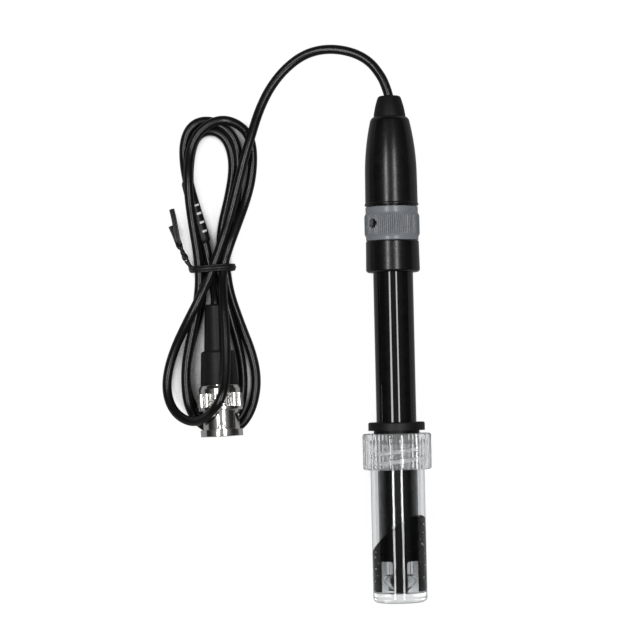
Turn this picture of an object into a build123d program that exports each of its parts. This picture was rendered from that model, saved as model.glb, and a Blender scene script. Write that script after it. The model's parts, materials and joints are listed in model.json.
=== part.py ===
from build123d import *
import os
from math import acos, atan2, cos, degrees, pi, radians, sin, tan

# A pH electrode lying on a table: its axis runs along Y with the cable end towards +Y.
# All sizes are in millimetres. Stations are measured along the electrode's axis from
# the bottom of its storage bottle, and along the plug's axis from its open nose.

# Clearances
slide_gap = 0.05
turn_gap = 0.10
glue_gap = 0.02
face_gap = 0.10

# Storage bottle, its screw cap and the rubber seal
bottle_od = 16.2
bottle_wall = 1.2
bottle_floor = 2.8
bottle_length = 47.3
bottle_edge = 1.4
thread_depth = 0.6
cap_od = 20.6
cap_length = 10.8
cap_roof = 1.85
cap_rim = 0.7
cap_ribs = 50
cap_groove = 0.5
seal_lip_height = 1.2
seal_lip_gap = 0.4
seal_neck_od = 13.7
seal_neck_show = 0.9
seal_flange_od = 17.0
seal_flange_height = 2.5
seal_edge = 0.5

# Body tube and its guard
tube_od = 12.0
tube_wall = 1.2
tube_edge = 0.5
tip_gap = 0.3
shaft_length = 95.8
socket_depth = 8.6
guard_gap = 0.35
window_count = 4
window_width = 5.4
window_height = 9.3
window_corner = 0.9

# Glass electrode and what is sealed in round it
stem_od = 6.4
stem_wall = 0.8
bulb_swell = 0.75
bulb_height = 6.0
bulb_wall = 0.4
bulb_recess = 0.3
end_plug_height = 5.0
end_plug_lift = 10.9
top_plug_height = 5.0
stopper_height = 4.0
wire_diameter = 0.5
reference_start = 55.0
junction_diameter = 0.9
junction_length = 6.0

# Head: collar with its neck, refill ring, cap and cable boot
collar_od = 16.25
collar_top_od = 15.95
collar_length = 9.4
collar_edge = 0.9
collar_top_edge = 0.3
neck_od = 12.9
neck_bore = 8.8
spigot_od = 12.4
spigot_length = 6.6
port_diameter = 2.0
port_angle = 47.0
ring_length = 10.2
ring_band_od = 15.8
ring_rib_od = 16.6
ring_upper_band = 1.9
ring_lower_band = 1.1
ring_slope = 0.9
ring_edge = 0.3
ring_ribs = 80
ring_groove = 0.32
ring_hole_diameter = 3.0
ring_hole_angle = 137.0
seal_section = 0.9
seal_groove_width = 1.08
seal_inset = 2.2
head_gap = 0.3
head_length = 26.9
head_base_od = 15.84
head_waist_od = 15.66
head_waist_height = 9.6
head_bead = 0.2
head_bead_height = 0.9
head_shoulder_od = 11.9
head_shoulder_drop = 1.3
head_top_od = 9.8
head_wall = 1.9
head_side_wall = 2.5
boot_length = 6.3
boot_base_od = 9.7
boot_middle_od = 8.6
boot_end_od = 7.1
boot_edge = 0.6
boot_stem_od = 5.3
boot_stem_length = 2.4

# Cable
cable_diameter = 2.8
cable_hold = 4.9
bend_share = 0.45

# Bayonet plug
nose_x = -52.47
nose_y = -25.30
plug_heading = 91.9
plug_pitch = 3.5
plug_rest_height = 9.3
plug_rest_station = 5.0
nut_flange_od = 12.7
nut_flange_length = 2.0
nut_barrel_od = 10.9
nut_barrel_length = 5.7
nut_band_od = 13.5
nut_band_length = 1.1
nut_band_edge = 0.4
nut_rib_od = 14.0
nut_rib_length = 4.0
nut_ribs = 56
nut_groove = 0.42
nut_rear_od = 12.6
nut_rear_length = 2.4
nut_rear_slope = 1.0
nut_rear_edge = 0.4
nut_bore = 9.8
nut_back_bore = 11.4
nut_web_station = 9.3
slot_width = 2.2
slot_start = 2.8
slot_rise = 3.4
slot_turn = 70.0
slot_entry_angle = 88.0
contact_od = 8.1
contact_wall = 0.5
contact_recess = 1.6
contact_slits = 4
contact_slit_width = 0.6
contact_slit_length = 4.5
body_flange_length = 1.6
body_shank_od = 9.0
crimp_stem_od = 6.0
crimp_stem_length = 8.6
ferrule_wall = 0.55
insulator_od = 4.7
insulator_bore = 2.2
insulator_recess = 2.6
insulator_base_length = 2.6
pin_diameter = 1.35
pin_recess = 2.2
pin_length = 11.0
gasket_height = 1.1
washer_height = 0.9
clip_height = 0.7
clip_depth = 0.25
clip_opening = 0.6
boot_gap = 0.2
plug_boot_length = 10.3
plug_boot_front_od = 11.4
plug_boot_back_od = 10.1
plug_boot_edge = 0.85
plug_sleeve_length = 14.1
plug_sleeve_front_od = 8.2
plug_sleeve_back_od = 6.4
plug_sleeve_edge = 0.8

# Hank: circles round which the tied turns of the cable lie, seen from above
tie_x = -54.15
tie_y = 26.0
waist_width = 10.54
top_outer_x = -51.66
top_outer_y = 59.94
top_outer_radius = 11.7
top_inner_x = -54.15
top_inner_y = 60.36
top_inner_radius = 5.3
top_slit_y = 31.6
low_outer_x = -52.15
low_outer_y = -10.76
low_outer_radius = 11.9
low_inner_x = -52.54
low_inner_y = -10.75
low_inner_radius = 8.2
low_slit_y = 19.0
slit_radius = 0.5

# Twist tie and label sleeve
tie_width = 1.8
tie_thickness = 0.9
tie_clearance = 0.1
band_rise = 1.0
band_left = -3.1
band_right = 4.5
tail_diameter = 1.4
tail_bend = 6.0
tie_tails = [
    [(-60.0, 25.7, 5.0), (-62.6, 29.4, 4.6), (-64.4, 34.0, 4.2), (-66.4, 43.8, 3.4)],
    [(-63.6, 32.0, 4.3), (-65.2, 35.4, 3.6), (-67.1, 38.8, 2.6)],
]
label_start = (-60.5, 51.8)
label_end = (-54.9, 33.0)
label_od = 3.7
label_height = 4.0

# Radii used by more than one piece
bottle_r = bottle_od / 2
cap_r = cap_od / 2
tube_r = tube_od / 2
tube_bore_r = tube_r - tube_wall
stem_r = stem_od / 2
stem_bore_r = stem_r - stem_wall
neck_r = neck_od / 2
neck_bore_r = neck_bore / 2
ring_bore_r = neck_r + turn_gap
bulb_r = stem_r + bulb_swell
guard_bore_r = bulb_r + guard_gap
spigot_r = spigot_od / 2
cable_r = cable_diameter / 2
wire_r = wire_diameter / 2
thread_r = bottle_r + thread_depth
cap_bore_r = thread_r + 2 * turn_gap
seal_lip_r = cap_bore_r - seal_lip_gap
cap_hole_r = seal_neck_od / 2 + turn_gap
groove_floor_r = neck_r + turn_gap / 2 - seal_section
wire_circle_r = (stem_r + neck_bore_r) / 2

# Stations along the electrode
tip = bottle_floor + tip_gap
collar_bottom = tip + shaft_length
collar_top = collar_bottom + collar_length
ring_bottom = collar_top + face_gap
ring_top = ring_bottom + ring_length
rib_bottom = ring_bottom + ring_lower_band
rib_top = ring_top - ring_upper_band
head_bottom = ring_top + head_gap
head_top = head_bottom + head_length
boot_top = head_top + boot_length
socket_top = collar_bottom + socket_depth
spigot_top = head_bottom + spigot_length
lip_bottom = bottle_length + slide_gap
lip_top = lip_bottom + seal_lip_height
cap_ceiling = lip_top + face_gap
cap_top = cap_ceiling + cap_roof
cap_bottom = cap_top - cap_length
flange_bottom = cap_top + seal_neck_show
flange_top = flange_bottom + seal_flange_height
cap_rest = cap_top - cap_rim
bulb_station = tip + bulb_recess + bulb_height / 2
stem_top = spigot_top - face_gap
plug_bottom = tip + end_plug_lift
plug_top = plug_bottom + end_plug_height
boot_root = head_top - boot_stem_length
cable_end = boot_top - cable_hold

# The electrode lies on the ribs of the bottle cap and of the refill ring.
ring_rest = rib_top - ring_slope
pitch = atan2(cap_r - ring_rib_od / 2, ring_rest - cap_rest)
rest_height = cap_r * cos(pitch) + cap_rest * sin(pitch)
probe = Plane(
    origin=(0, -boot_top / 2 * cos(pitch), rest_height),
    x_dir=(1, 0, 0),
    z_dir=(0, sin(pitch), cos(pitch)),
)
probe_axis = Axis(probe.origin, probe.y_dir)

# The plug lies nose up on the lowest turns of the hank.
plug_along = Vector(
    cos(radians(plug_heading)) * cos(radians(plug_pitch)),
    sin(radians(plug_heading)) * cos(radians(plug_pitch)),
    -sin(radians(plug_pitch)),
)
plug_side = Vector(sin(radians(plug_heading)), -cos(radians(plug_heading)), 0)
nose_height = plug_rest_height + plug_rest_station * sin(radians(plug_pitch))
plug = Plane(
    origin=(nose_x, nose_y, nose_height),
    x_dir=plug_side,
    z_dir=plug_side.cross(plug_along),
)
plug_axis = Axis(plug.origin, plug.y_dir)


def across(plane, station):
    """Plane across an axis at a station, x to the right, y up and its normal towards station 0."""
    return Plane(plane.from_local_coords((0, station, 0)), x_dir=plane.x_dir, z_dir=plane.y_dir * -1)


def radial(plane, station, angle):
    """Plane whose normal leaves the axis at an angle from x, 90 degrees being up, with x along the axis."""
    out = plane.x_dir * cos(radians(angle)) + plane.z_dir * sin(radians(angle))
    return Plane(plane.from_local_coords((0, station, 0)), x_dir=plane.y_dir, z_dir=out)


def turned(plane, *corners):
    """Piece turned about the plane's y axis from the corners (radius, station) of its half section."""
    with BuildPart() as piece:
        with BuildSketch(plane):
            with BuildLine():
                Polyline(*corners, close=True)
            make_face()
        revolve(axis=Axis(plane.origin, plane.y_dir))
    return piece


# Storage bottle: a clear vial with a thick base
with BuildPart() as bottle:
    with BuildSketch(probe) as bottle_section:
        with BuildLine():
            Polyline(
                (0, 0),
                (bottle_r, 0),
                (bottle_r, bottle_length),
                (bottle_r - bottle_wall, bottle_length),
                (bottle_r - bottle_wall, bottle_floor),
                (0, bottle_floor),
                close=True,
            )
        make_face()
        base_corner = bottle_section.vertices().sort_by_distance((bottle_r, 0))[0]
        fillet(base_corner, bottle_edge)
    revolve(axis=probe_axis)

# Bottle cap: ribbed skirt with rounded rims, and a hole in its roof for the seal's neck
with BuildPart() as bottle_cap:
    with BuildSketch(probe) as cap_section:
        with BuildLine():
            Polyline(
                (cap_bore_r, cap_bottom),
                (cap_r, cap_bottom),
                (cap_r, cap_top),
                (cap_hole_r, cap_top),
                (cap_hole_r, cap_ceiling),
                (cap_bore_r, cap_ceiling),
                close=True,
            )
        make_face()
        rim_corners = [
            cap_section.vertices().sort_by_distance((cap_r, station))[0] for station in (cap_bottom, cap_top)
        ]
        fillet(rim_corners, cap_rim)
    revolve(axis=probe_axis)
    with BuildSketch(across(probe, cap_top)):
        with PolarLocations(cap_r, cap_ribs):
            Rectangle(cap_groove, cap_groove, rotation=45)
    extrude(amount=cap_length, mode=Mode.SUBTRACT)

# Seal: rubber grommet that grips the tube, with a lip under the cap and a flange above it
with BuildPart() as cap_seal:
    with BuildSketch(probe) as seal_section_face:
        with BuildLine():
            Polyline(
                (tube_r + slide_gap, lip_bottom),
                (seal_lip_r, lip_bottom),
                (seal_lip_r, lip_top),
                (seal_neck_od / 2, lip_top),
                (seal_neck_od / 2, flange_bottom),
                (seal_flange_od / 2, flange_bottom),
                (seal_flange_od / 2, flange_top),
                (tube_r + slide_gap, flange_top),
                close=True,
            )
        make_face()
        flange_corner = seal_section_face.vertices().sort_by_distance((seal_flange_od / 2, flange_top))[0]
        fillet(flange_corner, seal_edge)
    revolve(axis=probe_axis)

# Body tube: its thicker end is a guard, whose windows are open at the tip and leave posts between them
with BuildPart() as body_tube:
    with BuildSketch(probe) as tube_section:
        with BuildLine():
            Polyline(
                (guard_bore_r, tip),
                (tube_r, tip),
                (tube_r, socket_top),
                (tube_bore_r, socket_top),
                (tube_bore_r, plug_bottom - glue_gap),
                (guard_bore_r, plug_bottom - glue_gap),
                close=True,
            )
        make_face()
        tip_corner = tube_section.vertices().sort_by_distance((tube_r, tip))[0]
        fillet(tip_corner, tube_edge)
    revolve(axis=probe_axis)
    for window in range(window_count):
        with BuildSketch(radial(probe, tip, (window + 0.5) * 360 / window_count)):
            RectangleRounded(2 * window_height, window_width, window_corner)
        extrude(amount=tube_od, mode=Mode.SUBTRACT)

# Glass electrode: a stem blown out to a thin, rather flat bulb at its lower end
bulb_middle = (0, bulb_station)
bulb_bore_r = bulb_r - bulb_wall
bulb_rise = bulb_height / 2
neck_turn = 90 + degrees(acos(stem_r / bulb_r))
neck_bore_turn = 90 + degrees(acos(stem_bore_r / bulb_bore_r))
with BuildPart() as glass_electrode:
    with BuildSketch(probe):
        with BuildLine():
            outer = EllipticalCenterArc(bulb_middle, bulb_r, bulb_rise, -90, arc_size=neck_turn)
            inner = EllipticalCenterArc(
                bulb_middle, bulb_bore_r, bulb_rise - bulb_wall, -90, arc_size=neck_bore_turn
            )
            Polyline(outer @ 1, (stem_r, stem_top), (stem_bore_r, stem_top), inner @ 1)
            Line(inner @ 0, outer @ 0)
        make_face()
    revolve(axis=probe_axis)

# End plug: closes the salt chamber above the guard, and holds the porous junction
junction_circle_r = (stem_r + guard_bore_r) / 2
with BuildPart() as end_plug:
    with BuildSketch(across(probe, plug_top)):
        Circle(tube_bore_r - glue_gap)
        Circle(stem_r + glue_gap, mode=Mode.SUBTRACT)
        with Locations((0, junction_circle_r)):
            Circle(junction_diameter / 2 + glue_gap, mode=Mode.SUBTRACT)
    extrude(amount=end_plug_height)

with BuildPart() as junction:
    with BuildSketch(across(probe, plug_top)):
        with Locations((0, junction_circle_r)):
            Circle(junction_diameter / 2)
    extrude(amount=junction_length)

# Top plug: closes the salt chamber above the fill port, round the stem and the reference wire
top_plug_top = spigot_top - glue_gap
with BuildPart() as top_plug:
    with BuildSketch(across(probe, top_plug_top)):
        Circle(neck_bore_r - glue_gap)
        Circle(stem_r + glue_gap, mode=Mode.SUBTRACT)
        with Locations((wire_circle_r, 0)):
            Circle(wire_r + glue_gap, mode=Mode.SUBTRACT)
    extrude(amount=top_plug_height)

stem_stopper = turned(
    probe,
    (wire_r + glue_gap, stem_top - stopper_height),
    (stem_bore_r - glue_gap, stem_top - stopper_height),
    (stem_bore_r - glue_gap, stem_top),
    (wire_r + glue_gap, stem_top),
)

# Silver wires: one down the glass into the bulb, one beside it in the salt chamber
measuring_wire = turned(
    probe,
    (0, bulb_station),
    (wire_r, bulb_station),
    (wire_r, cable_end - face_gap),
    (0, cable_end - face_gap),
)

wire_bend = spigot_top + stem_r
with BuildPart() as reference_wire:
    with BuildLine(probe) as wire_path:
        FilletPolyline(
            (wire_circle_r, reference_start),
            (wire_circle_r, wire_bend),
            (cable_r / 2, boot_root - face_gap),
            (cable_r / 2, cable_end - face_gap),
            radius=stem_r,
        )
    with BuildSketch(Plane(wire_path.line @ 0, z_dir=probe.y_dir)):
        Circle(wire_r)
    sweep()

# Head collar: socket for the tube, neck with two seal grooves and the fill port, spigot for the cap
lower_seal = ring_bottom + seal_inset
upper_seal = ring_top - seal_inset
with BuildPart() as head_collar:
    with BuildSketch(probe) as collar_section:
        with BuildLine():
            Polyline(
                (tube_r + glue_gap, collar_bottom),
                (collar_od / 2, collar_bottom),
                (collar_top_od / 2, collar_top),
                (neck_r, collar_top),
                (neck_r, head_bottom),
                (spigot_r, head_bottom),
                (spigot_r, spigot_top),
                (neck_bore_r, spigot_top),
                (neck_bore_r, socket_top),
                (tube_r + glue_gap, socket_top),
                close=True,
            )
        make_face()
        collar_corner = collar_section.vertices().sort_by_distance((collar_od / 2, collar_bottom))[0]
        fillet(collar_corner, collar_edge)
        collar_shoulder = collar_section.vertices().sort_by_distance((collar_top_od / 2, collar_top))[0]
        fillet(collar_shoulder, collar_top_edge)
        with Locations((groove_floor_r, lower_seal), (groove_floor_r, upper_seal)):
            Rectangle(neck_r, seal_groove_width, align=(Align.MIN, Align.CENTER), mode=Mode.SUBTRACT)
    revolve(axis=probe_axis)
    with BuildSketch(radial(probe, (ring_bottom + ring_top) / 2, port_angle)):
        Circle(port_diameter / 2)
    extrude(amount=neck_od, mode=Mode.SUBTRACT)


def ring_seal(station):
    """Rubber ring in a groove of the neck."""
    with BuildPart() as piece:
        with BuildSketch(probe):
            with Locations((groove_floor_r + seal_section / 2, station)):
                Circle(seal_section / 2)
        revolve(axis=probe_axis)
    return piece


ring_seal_lower = ring_seal(lower_seal)
ring_seal_upper = ring_seal(upper_seal)

# Refill ring: finely ribbed between two smooth bands, with one hole to line up with the port
with BuildPart() as refill_ring:
    with BuildSketch(probe) as ring_section:
        with BuildLine():
            Polyline(
                (ring_bore_r, ring_bottom),
                (ring_band_od / 2, ring_bottom),
                (ring_band_od / 2, rib_bottom),
                (ring_rib_od / 2, rib_bottom + ring_slope),
                (ring_rib_od / 2, rib_top - ring_slope),
                (ring_band_od / 2, rib_top),
                (ring_band_od / 2, ring_top),
                (ring_bore_r, ring_top),
                close=True,
            )
        make_face()
        band_ends = [
            ring_section.vertices().sort_by_distance((ring_band_od / 2, station))[0]
            for station in (ring_bottom, ring_top)
        ]
        fillet(band_ends, ring_edge)
    revolve(axis=probe_axis)
    with BuildSketch(across(probe, rib_top)):
        with PolarLocations(ring_rib_od / 2, ring_ribs):
            Rectangle(ring_groove, ring_groove, rotation=45)
    extrude(amount=rib_top - rib_bottom, mode=Mode.SUBTRACT)
    with BuildSketch(radial(probe, (ring_bottom + ring_top) / 2, ring_hole_angle)):
        Circle(ring_hole_diameter / 2)
    extrude(amount=ring_rib_od, mode=Mode.SUBTRACT)

# Head cap: a bullet form with a bead round its rim, narrowing to the cable boot, hollow round the wires
waist = head_bottom + head_waist_height
shoulder = head_top - head_shoulder_drop
cavity_top = head_top - head_wall
with BuildPart() as head_cap:
    with BuildSketch(probe):
        with BuildLine():
            bead = ThreePointArc(
                (head_base_od / 2, head_bottom),
                (head_base_od / 2 + head_bead, head_bottom + head_bead_height / 2),
                (head_base_od / 2, head_bottom + head_bead_height),
            )
            side = Line(bead @ 1, (head_waist_od / 2, waist))
            bullet = TangentArc(side @ 1, (head_shoulder_od / 2, shoulder), tangent=side % 1)
            crown = TangentArc(bullet @ 1, (head_top_od / 2, head_top), tangent=bullet % 1)
            Polyline(
                crown @ 1,
                (boot_stem_od / 2 + glue_gap, head_top),
                (boot_stem_od / 2 + glue_gap, cavity_top),
                (head_shoulder_od / 2 - head_wall, cavity_top),
                (head_waist_od / 2 - head_side_wall, waist),
                (head_waist_od / 2 - head_side_wall, spigot_top + face_gap),
                (spigot_r + glue_gap, spigot_top + face_gap),
                (spigot_r + glue_gap, head_bottom),
                bead @ 0,
            )
        make_face()
    revolve(axis=probe_axis)

# Cable boot: short curved cone with a stem held in the head cap
with BuildPart() as cable_boot:
    with BuildSketch(probe):
        with BuildLine():
            cone = ThreePointArc(
                (boot_base_od / 2, head_top),
                (boot_middle_od / 2, head_top + boot_length / 2),
                (boot_end_od / 2, boot_top - boot_edge),
            )
            nose = TangentArc(cone @ 1, (boot_end_od / 2 - boot_edge, boot_top), tangent=cone % 1)
            Polyline(
                nose @ 1,
                (cable_r + glue_gap, boot_top),
                (cable_r + glue_gap, boot_root),
                (boot_stem_od / 2, boot_root),
                (boot_stem_od / 2, head_top),
                cone @ 0,
            )
        make_face()
    revolve(axis=probe_axis)

# Stations along the plug
barrel_end = nut_flange_length + nut_barrel_length
band_end = barrel_end + nut_band_length
rib_end = band_end + nut_rib_length
nut_end = rib_end + nut_rear_length
flange_front = nut_web_station + face_gap + turn_gap
flange_back = flange_front + body_flange_length
washer_back = flange_back + washer_height
clip_front = washer_back + face_gap
clip_back = clip_front + clip_height
boot_front = nut_end + boot_gap
shank_end = boot_front + boot_gap
crimp_end = shank_end + crimp_stem_length
sleeve_front = boot_front + plug_boot_length
plug_end = sleeve_front + plug_sleeve_length
nut_back_r = nut_back_bore / 2
contact_r = contact_od / 2
contact_bore_r = contact_r - contact_wall
crimp_r = crimp_stem_od / 2
ferrule_r = crimp_r + ferrule_wall
insulator_base = nut_web_station - insulator_base_length

# Coupling nut: plain flange and barrel, banded and ribbed grip, and two bayonet slots wound into the barrel
slot_lead = slot_rise * 360 / slot_turn
slot_mid_r = (nut_bore + nut_barrel_od) / 4
with BuildPart() as coupling_nut:
    with BuildSketch(plug) as nut_section:
        with BuildLine():
            Polyline(
                (nut_bore / 2, 0),
                (nut_flange_od / 2, 0),
                (nut_flange_od / 2, nut_flange_length),
                (nut_barrel_od / 2, nut_flange_length),
                (nut_barrel_od / 2, barrel_end),
                (nut_band_od / 2, barrel_end),
                (nut_band_od / 2, band_end),
                (nut_rear_od / 2, band_end),
                (nut_rear_od / 2, nut_end - nut_rear_slope),
                (nut_rear_od / 2 - nut_rear_edge, nut_end),
                (nut_back_r, nut_end),
                (nut_back_r, clip_back + slide_gap),
                (nut_back_r + clip_depth, clip_back + slide_gap),
                (nut_back_r + clip_depth, clip_front - slide_gap),
                (nut_back_r, clip_front - slide_gap),
                (nut_back_r, nut_web_station),
                (nut_bore / 2, nut_web_station),
                close=True,
            )
        make_face()
        band_corner = nut_section.vertices().sort_by_distance((nut_band_od / 2, barrel_end))[0]
        fillet(band_corner, nut_band_edge)
    revolve(axis=plug_axis)
    with BuildSketch(across(plug, rib_end)):
        Circle(nut_rib_od / 2)
        with PolarLocations(nut_rib_od / 2, nut_ribs):
            Rectangle(nut_groove, nut_groove, rotation=45, mode=Mode.SUBTRACT)
        Circle(nut_back_r + 2 * clip_depth, mode=Mode.SUBTRACT)
    extrude(amount=nut_rib_length)
    for half in range(2):
        entry = radial(plug, 0, slot_entry_angle + 180 * half)
        with BuildSketch(entry):
            Rectangle(slot_start, slot_width, align=(Align.MIN, Align.CENTER))
            with Locations((slot_start, 0)):
                Circle(slot_width / 2)
        extrude(amount=nut_barrel_od / 2 + turn_gap, mode=Mode.SUBTRACT)
        ramp_start = plug.from_local_coords((0, slot_start, 0))
        with BuildLine(Plane(ramp_start, x_dir=entry.z_dir, z_dir=plug.y_dir)) as ramp:
            Helix(pitch=slot_lead, height=slot_rise, radius=slot_mid_r)
        with BuildSketch(Plane(ramp.line @ 0, x_dir=entry.z_dir, z_dir=ramp.line % 0)):
            Circle(slot_width / 2)
        sweep(path=ramp.line, is_frenet=True, mode=Mode.SUBTRACT)
        lock_angle = slot_entry_angle + 180 * half - slot_turn
        with BuildSketch(radial(plug, slot_start + slot_rise, lock_angle)):
            Circle(slot_width / 2)
        extrude(amount=nut_rib_od / 2, mode=Mode.SUBTRACT)

# Plug body: slit contact sleeve in front, flange inside the nut, shank and crimp stem behind
with BuildPart() as plug_body:
    with BuildSketch(plug):
        with BuildLine():
            Polyline(
                (contact_bore_r, contact_recess),
                (contact_r, contact_recess),
                (contact_r, flange_front),
                (nut_back_r - turn_gap, flange_front),
                (nut_back_r - turn_gap, flange_back),
                (body_shank_od / 2, flange_back),
                (body_shank_od / 2, shank_end),
                (crimp_r, shank_end),
                (crimp_r, crimp_end),
                (cable_r + glue_gap, crimp_end),
                (cable_r + glue_gap, nut_web_station),
                (contact_bore_r, nut_web_station),
                close=True,
            )
        make_face()
    revolve(axis=plug_axis)
    for slit in range(contact_slits):
        with BuildSketch(radial(plug, contact_recess, (slit + 0.5) * 360 / contact_slits)):
            Rectangle(2 * contact_slit_length, contact_slit_width)
        extrude(amount=contact_od, mode=Mode.SUBTRACT)

# Insulator: base disc with a tube round the pin
plug_insulator = turned(
    plug,
    (insulator_bore / 2, insulator_recess),
    (insulator_od / 2, insulator_recess),
    (insulator_od / 2, insulator_base),
    (contact_bore_r - glue_gap, insulator_base),
    (contact_bore_r - glue_gap, nut_web_station - glue_gap),
    (pin_diameter / 2 + glue_gap, nut_web_station - glue_gap),
    (pin_diameter / 2 + glue_gap, insulator_base),
    (insulator_bore / 2, insulator_base),
)

centre_pin = turned(
    plug,
    (0, pin_recess),
    (pin_diameter / 4, pin_recess),
    (pin_diameter / 2, pin_recess + pin_diameter / 2),
    (pin_diameter / 2, pin_recess + pin_length),
    (0, pin_recess + pin_length),
)

plug_gasket = turned(
    plug,
    (contact_r + glue_gap, flange_front - gasket_height),
    (nut_bore / 2 - turn_gap, flange_front - gasket_height),
    (nut_bore / 2 - turn_gap, flange_front),
    (contact_r + glue_gap, flange_front),
)

wave_washer = turned(
    plug,
    (body_shank_od / 2 + glue_gap, flange_back),
    (nut_back_r - turn_gap, flange_back),
    (nut_back_r - turn_gap, washer_back),
    (body_shank_od / 2 + glue_gap, washer_back),
)

# Retaining ring: split ring sprung into a groove inside the nut
with BuildPart() as retaining_ring:
    with BuildSketch(across(plug, clip_back)):
        Circle(nut_back_r + clip_depth - slide_gap)
        Circle(body_shank_od / 2 + turn_gap, mode=Mode.SUBTRACT)
        Rectangle(nut_back_bore, clip_opening, align=(Align.MIN, Align.CENTER), mode=Mode.SUBTRACT)
    extrude(amount=clip_height)

crimp_ferrule = turned(
    plug,
    (crimp_r + glue_gap, shank_end),
    (ferrule_r, shank_end),
    (ferrule_r, crimp_end),
    (crimp_r + glue_gap, crimp_end),
)

# Plug boot: tapered grip with a slimmer sleeve behind it
with BuildPart() as plug_boot:
    with BuildSketch(plug) as boot_section:
        with BuildLine():
            Polyline(
                (body_shank_od / 2 + glue_gap, boot_front),
                (plug_boot_front_od / 2, boot_front),
                (plug_boot_back_od / 2, sleeve_front),
                (plug_sleeve_front_od / 2, sleeve_front),
                (plug_sleeve_back_od / 2, plug_end),
                (cable_r + glue_gap, plug_end),
                (cable_r + glue_gap, crimp_end + glue_gap),
                (ferrule_r + glue_gap, crimp_end + glue_gap),
                (ferrule_r + glue_gap, shank_end + glue_gap),
                (body_shank_od / 2 + glue_gap, shank_end + glue_gap),
                close=True,
            )
        make_face()
        shoulder = boot_section.vertices().sort_by_distance((plug_boot_back_od / 2, sleeve_front))[0]
        fillet(shoulder, plug_boot_edge)
        sleeve_corner = boot_section.vertices().sort_by_distance((plug_sleeve_back_od / 2, plug_end))[0]
        fillet(sleeve_corner, plug_sleeve_edge)
    revolve(axis=plug_axis)

# Route of the lead: out of the boot, round to the tie, down in a loose loop, over the plug and back
lead_root = probe.from_local_coords((0, cable_end, 0))
lead_exit = probe.from_local_coords((0, boot_top + cable_diameter, 0))
lead_route = [
    tuple(lead_root),
    tuple(lead_exit),
    (-2.6, 86.6, 6.8),
    (-8.6, 91.0, 6.0),
    (-17.0, 92.6, 4.6),
    (-25.5, 90.6, 3.0),
    (-32.0, 85.6, 2.2),
    (-36.6, 78.6, 2.6),
    (-40.4, 70.6, 5.0),
    (-43.6, 62.4, 7.2),
    (-46.2, 53.6, 7.6),
    (-48.9, 44.6, 7.4),
    (-51.9, 35.8, 7.3),
    (-54.4, 28.0, 7.3),
    (-57.2, 20.8, 6.9),
    (-60.6, 13.8, 5.6),
    (-64.2, 6.6, 3.4),
    (-67.4, -0.4, 2.2),
    (-69.4, -6.2, 2.2),
    (-69.6, -11.6, 3.4),
    (-67.8, -16.4, 6.0),
    (-64.2, -20.0, 9.8),
    (-59.6, -21.4, 14.2),
    (-55.0, -20.2, 18.2),
    (-51.5, -16.5, 20.7),
    (-50.2, -11.4, 21.4),
    (-50.2, -5.4, 20.2),
    (-50.4, 1.0, 18.0),
    (-50.7, 7.6, 15.6),
    (-51.0, 14.0, 12.9),
    (-51.3, 20.2, 9.8),
    (-51.2, 26.0, 7.6),
    (-50.3, 31.0, 5.4),
    (-48.9, 35.0, 3.6),
]

# Route of the tail: from the hank into the plug's sleeve
tail_entry = plug.from_local_coords((0, plug_end + cable_diameter, 0))
tail_end = plug.from_local_coords((0, plug_end - cable_diameter, 0))
tail_route = [
    (-54.1, 29.4, 3.6),
    (-54.1, 25.2, 3.7),
    (-54.0, 21.2, 5.0),
    tuple(tail_entry),
    tuple(tail_end),
]


def bend_radii(route):
    """Radius at each inner point of a route, as large as its two runs allow."""
    points = [Vector(*point) for point in route]
    radii = []
    for before, here, after in zip(points, points[1:], points[2:]):
        run_in = here - before
        run_out = after - here
        turn = radians(run_in.get_angle(run_out))
        radii.append(bend_share * min(run_in.length, run_out.length) / tan(turn / 2))
    return radii


def cable_along(route):
    """Round cable swept along straight runs and tangent arcs."""
    with BuildPart() as piece:
        with BuildLine() as path:
            FilletPolyline(*route, radius=bend_radii(route))
        with BuildSketch(Plane(path.line @ 0, z_dir=path.line % 0)):
            Circle(cable_r)
        sweep(path=path.line)
    print("radii", [round(radius, 1) for radius in bend_radii(route)])
    path_length = sum(edge.length for edge in path.line.edges())
    print("volume", round(piece.part.volume), "section times length", round(pi * cable_r**2 * path_length))
    return piece


cable_lead = cable_along(lead_route)
cable_tail = cable_along(tail_route)


def teardrop(x, y, radius, end_x, end_y, end_radius):
    """Face within a thread drawn tight round two circles."""
    with BuildSketch() as face:
        with BuildLine():
            CenterArc((x, y), radius, 0, 360)
            CenterArc((end_x, end_y), end_radius, 0, 360)
        make_hull()
    return face.sketch


# Label sleeve: shrunk on one turn of the upper loop
label_top = Vector(*label_start, label_height)
label_low = Vector(*label_end, label_height)
with BuildPart() as label_sleeve:
    with BuildSketch(Plane(label_top, z_dir=label_low - label_top)):
        Circle(label_od / 2)
        Circle(cable_r, mode=Mode.SUBTRACT)
    extrude(amount=(label_low - label_top).length)

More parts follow.
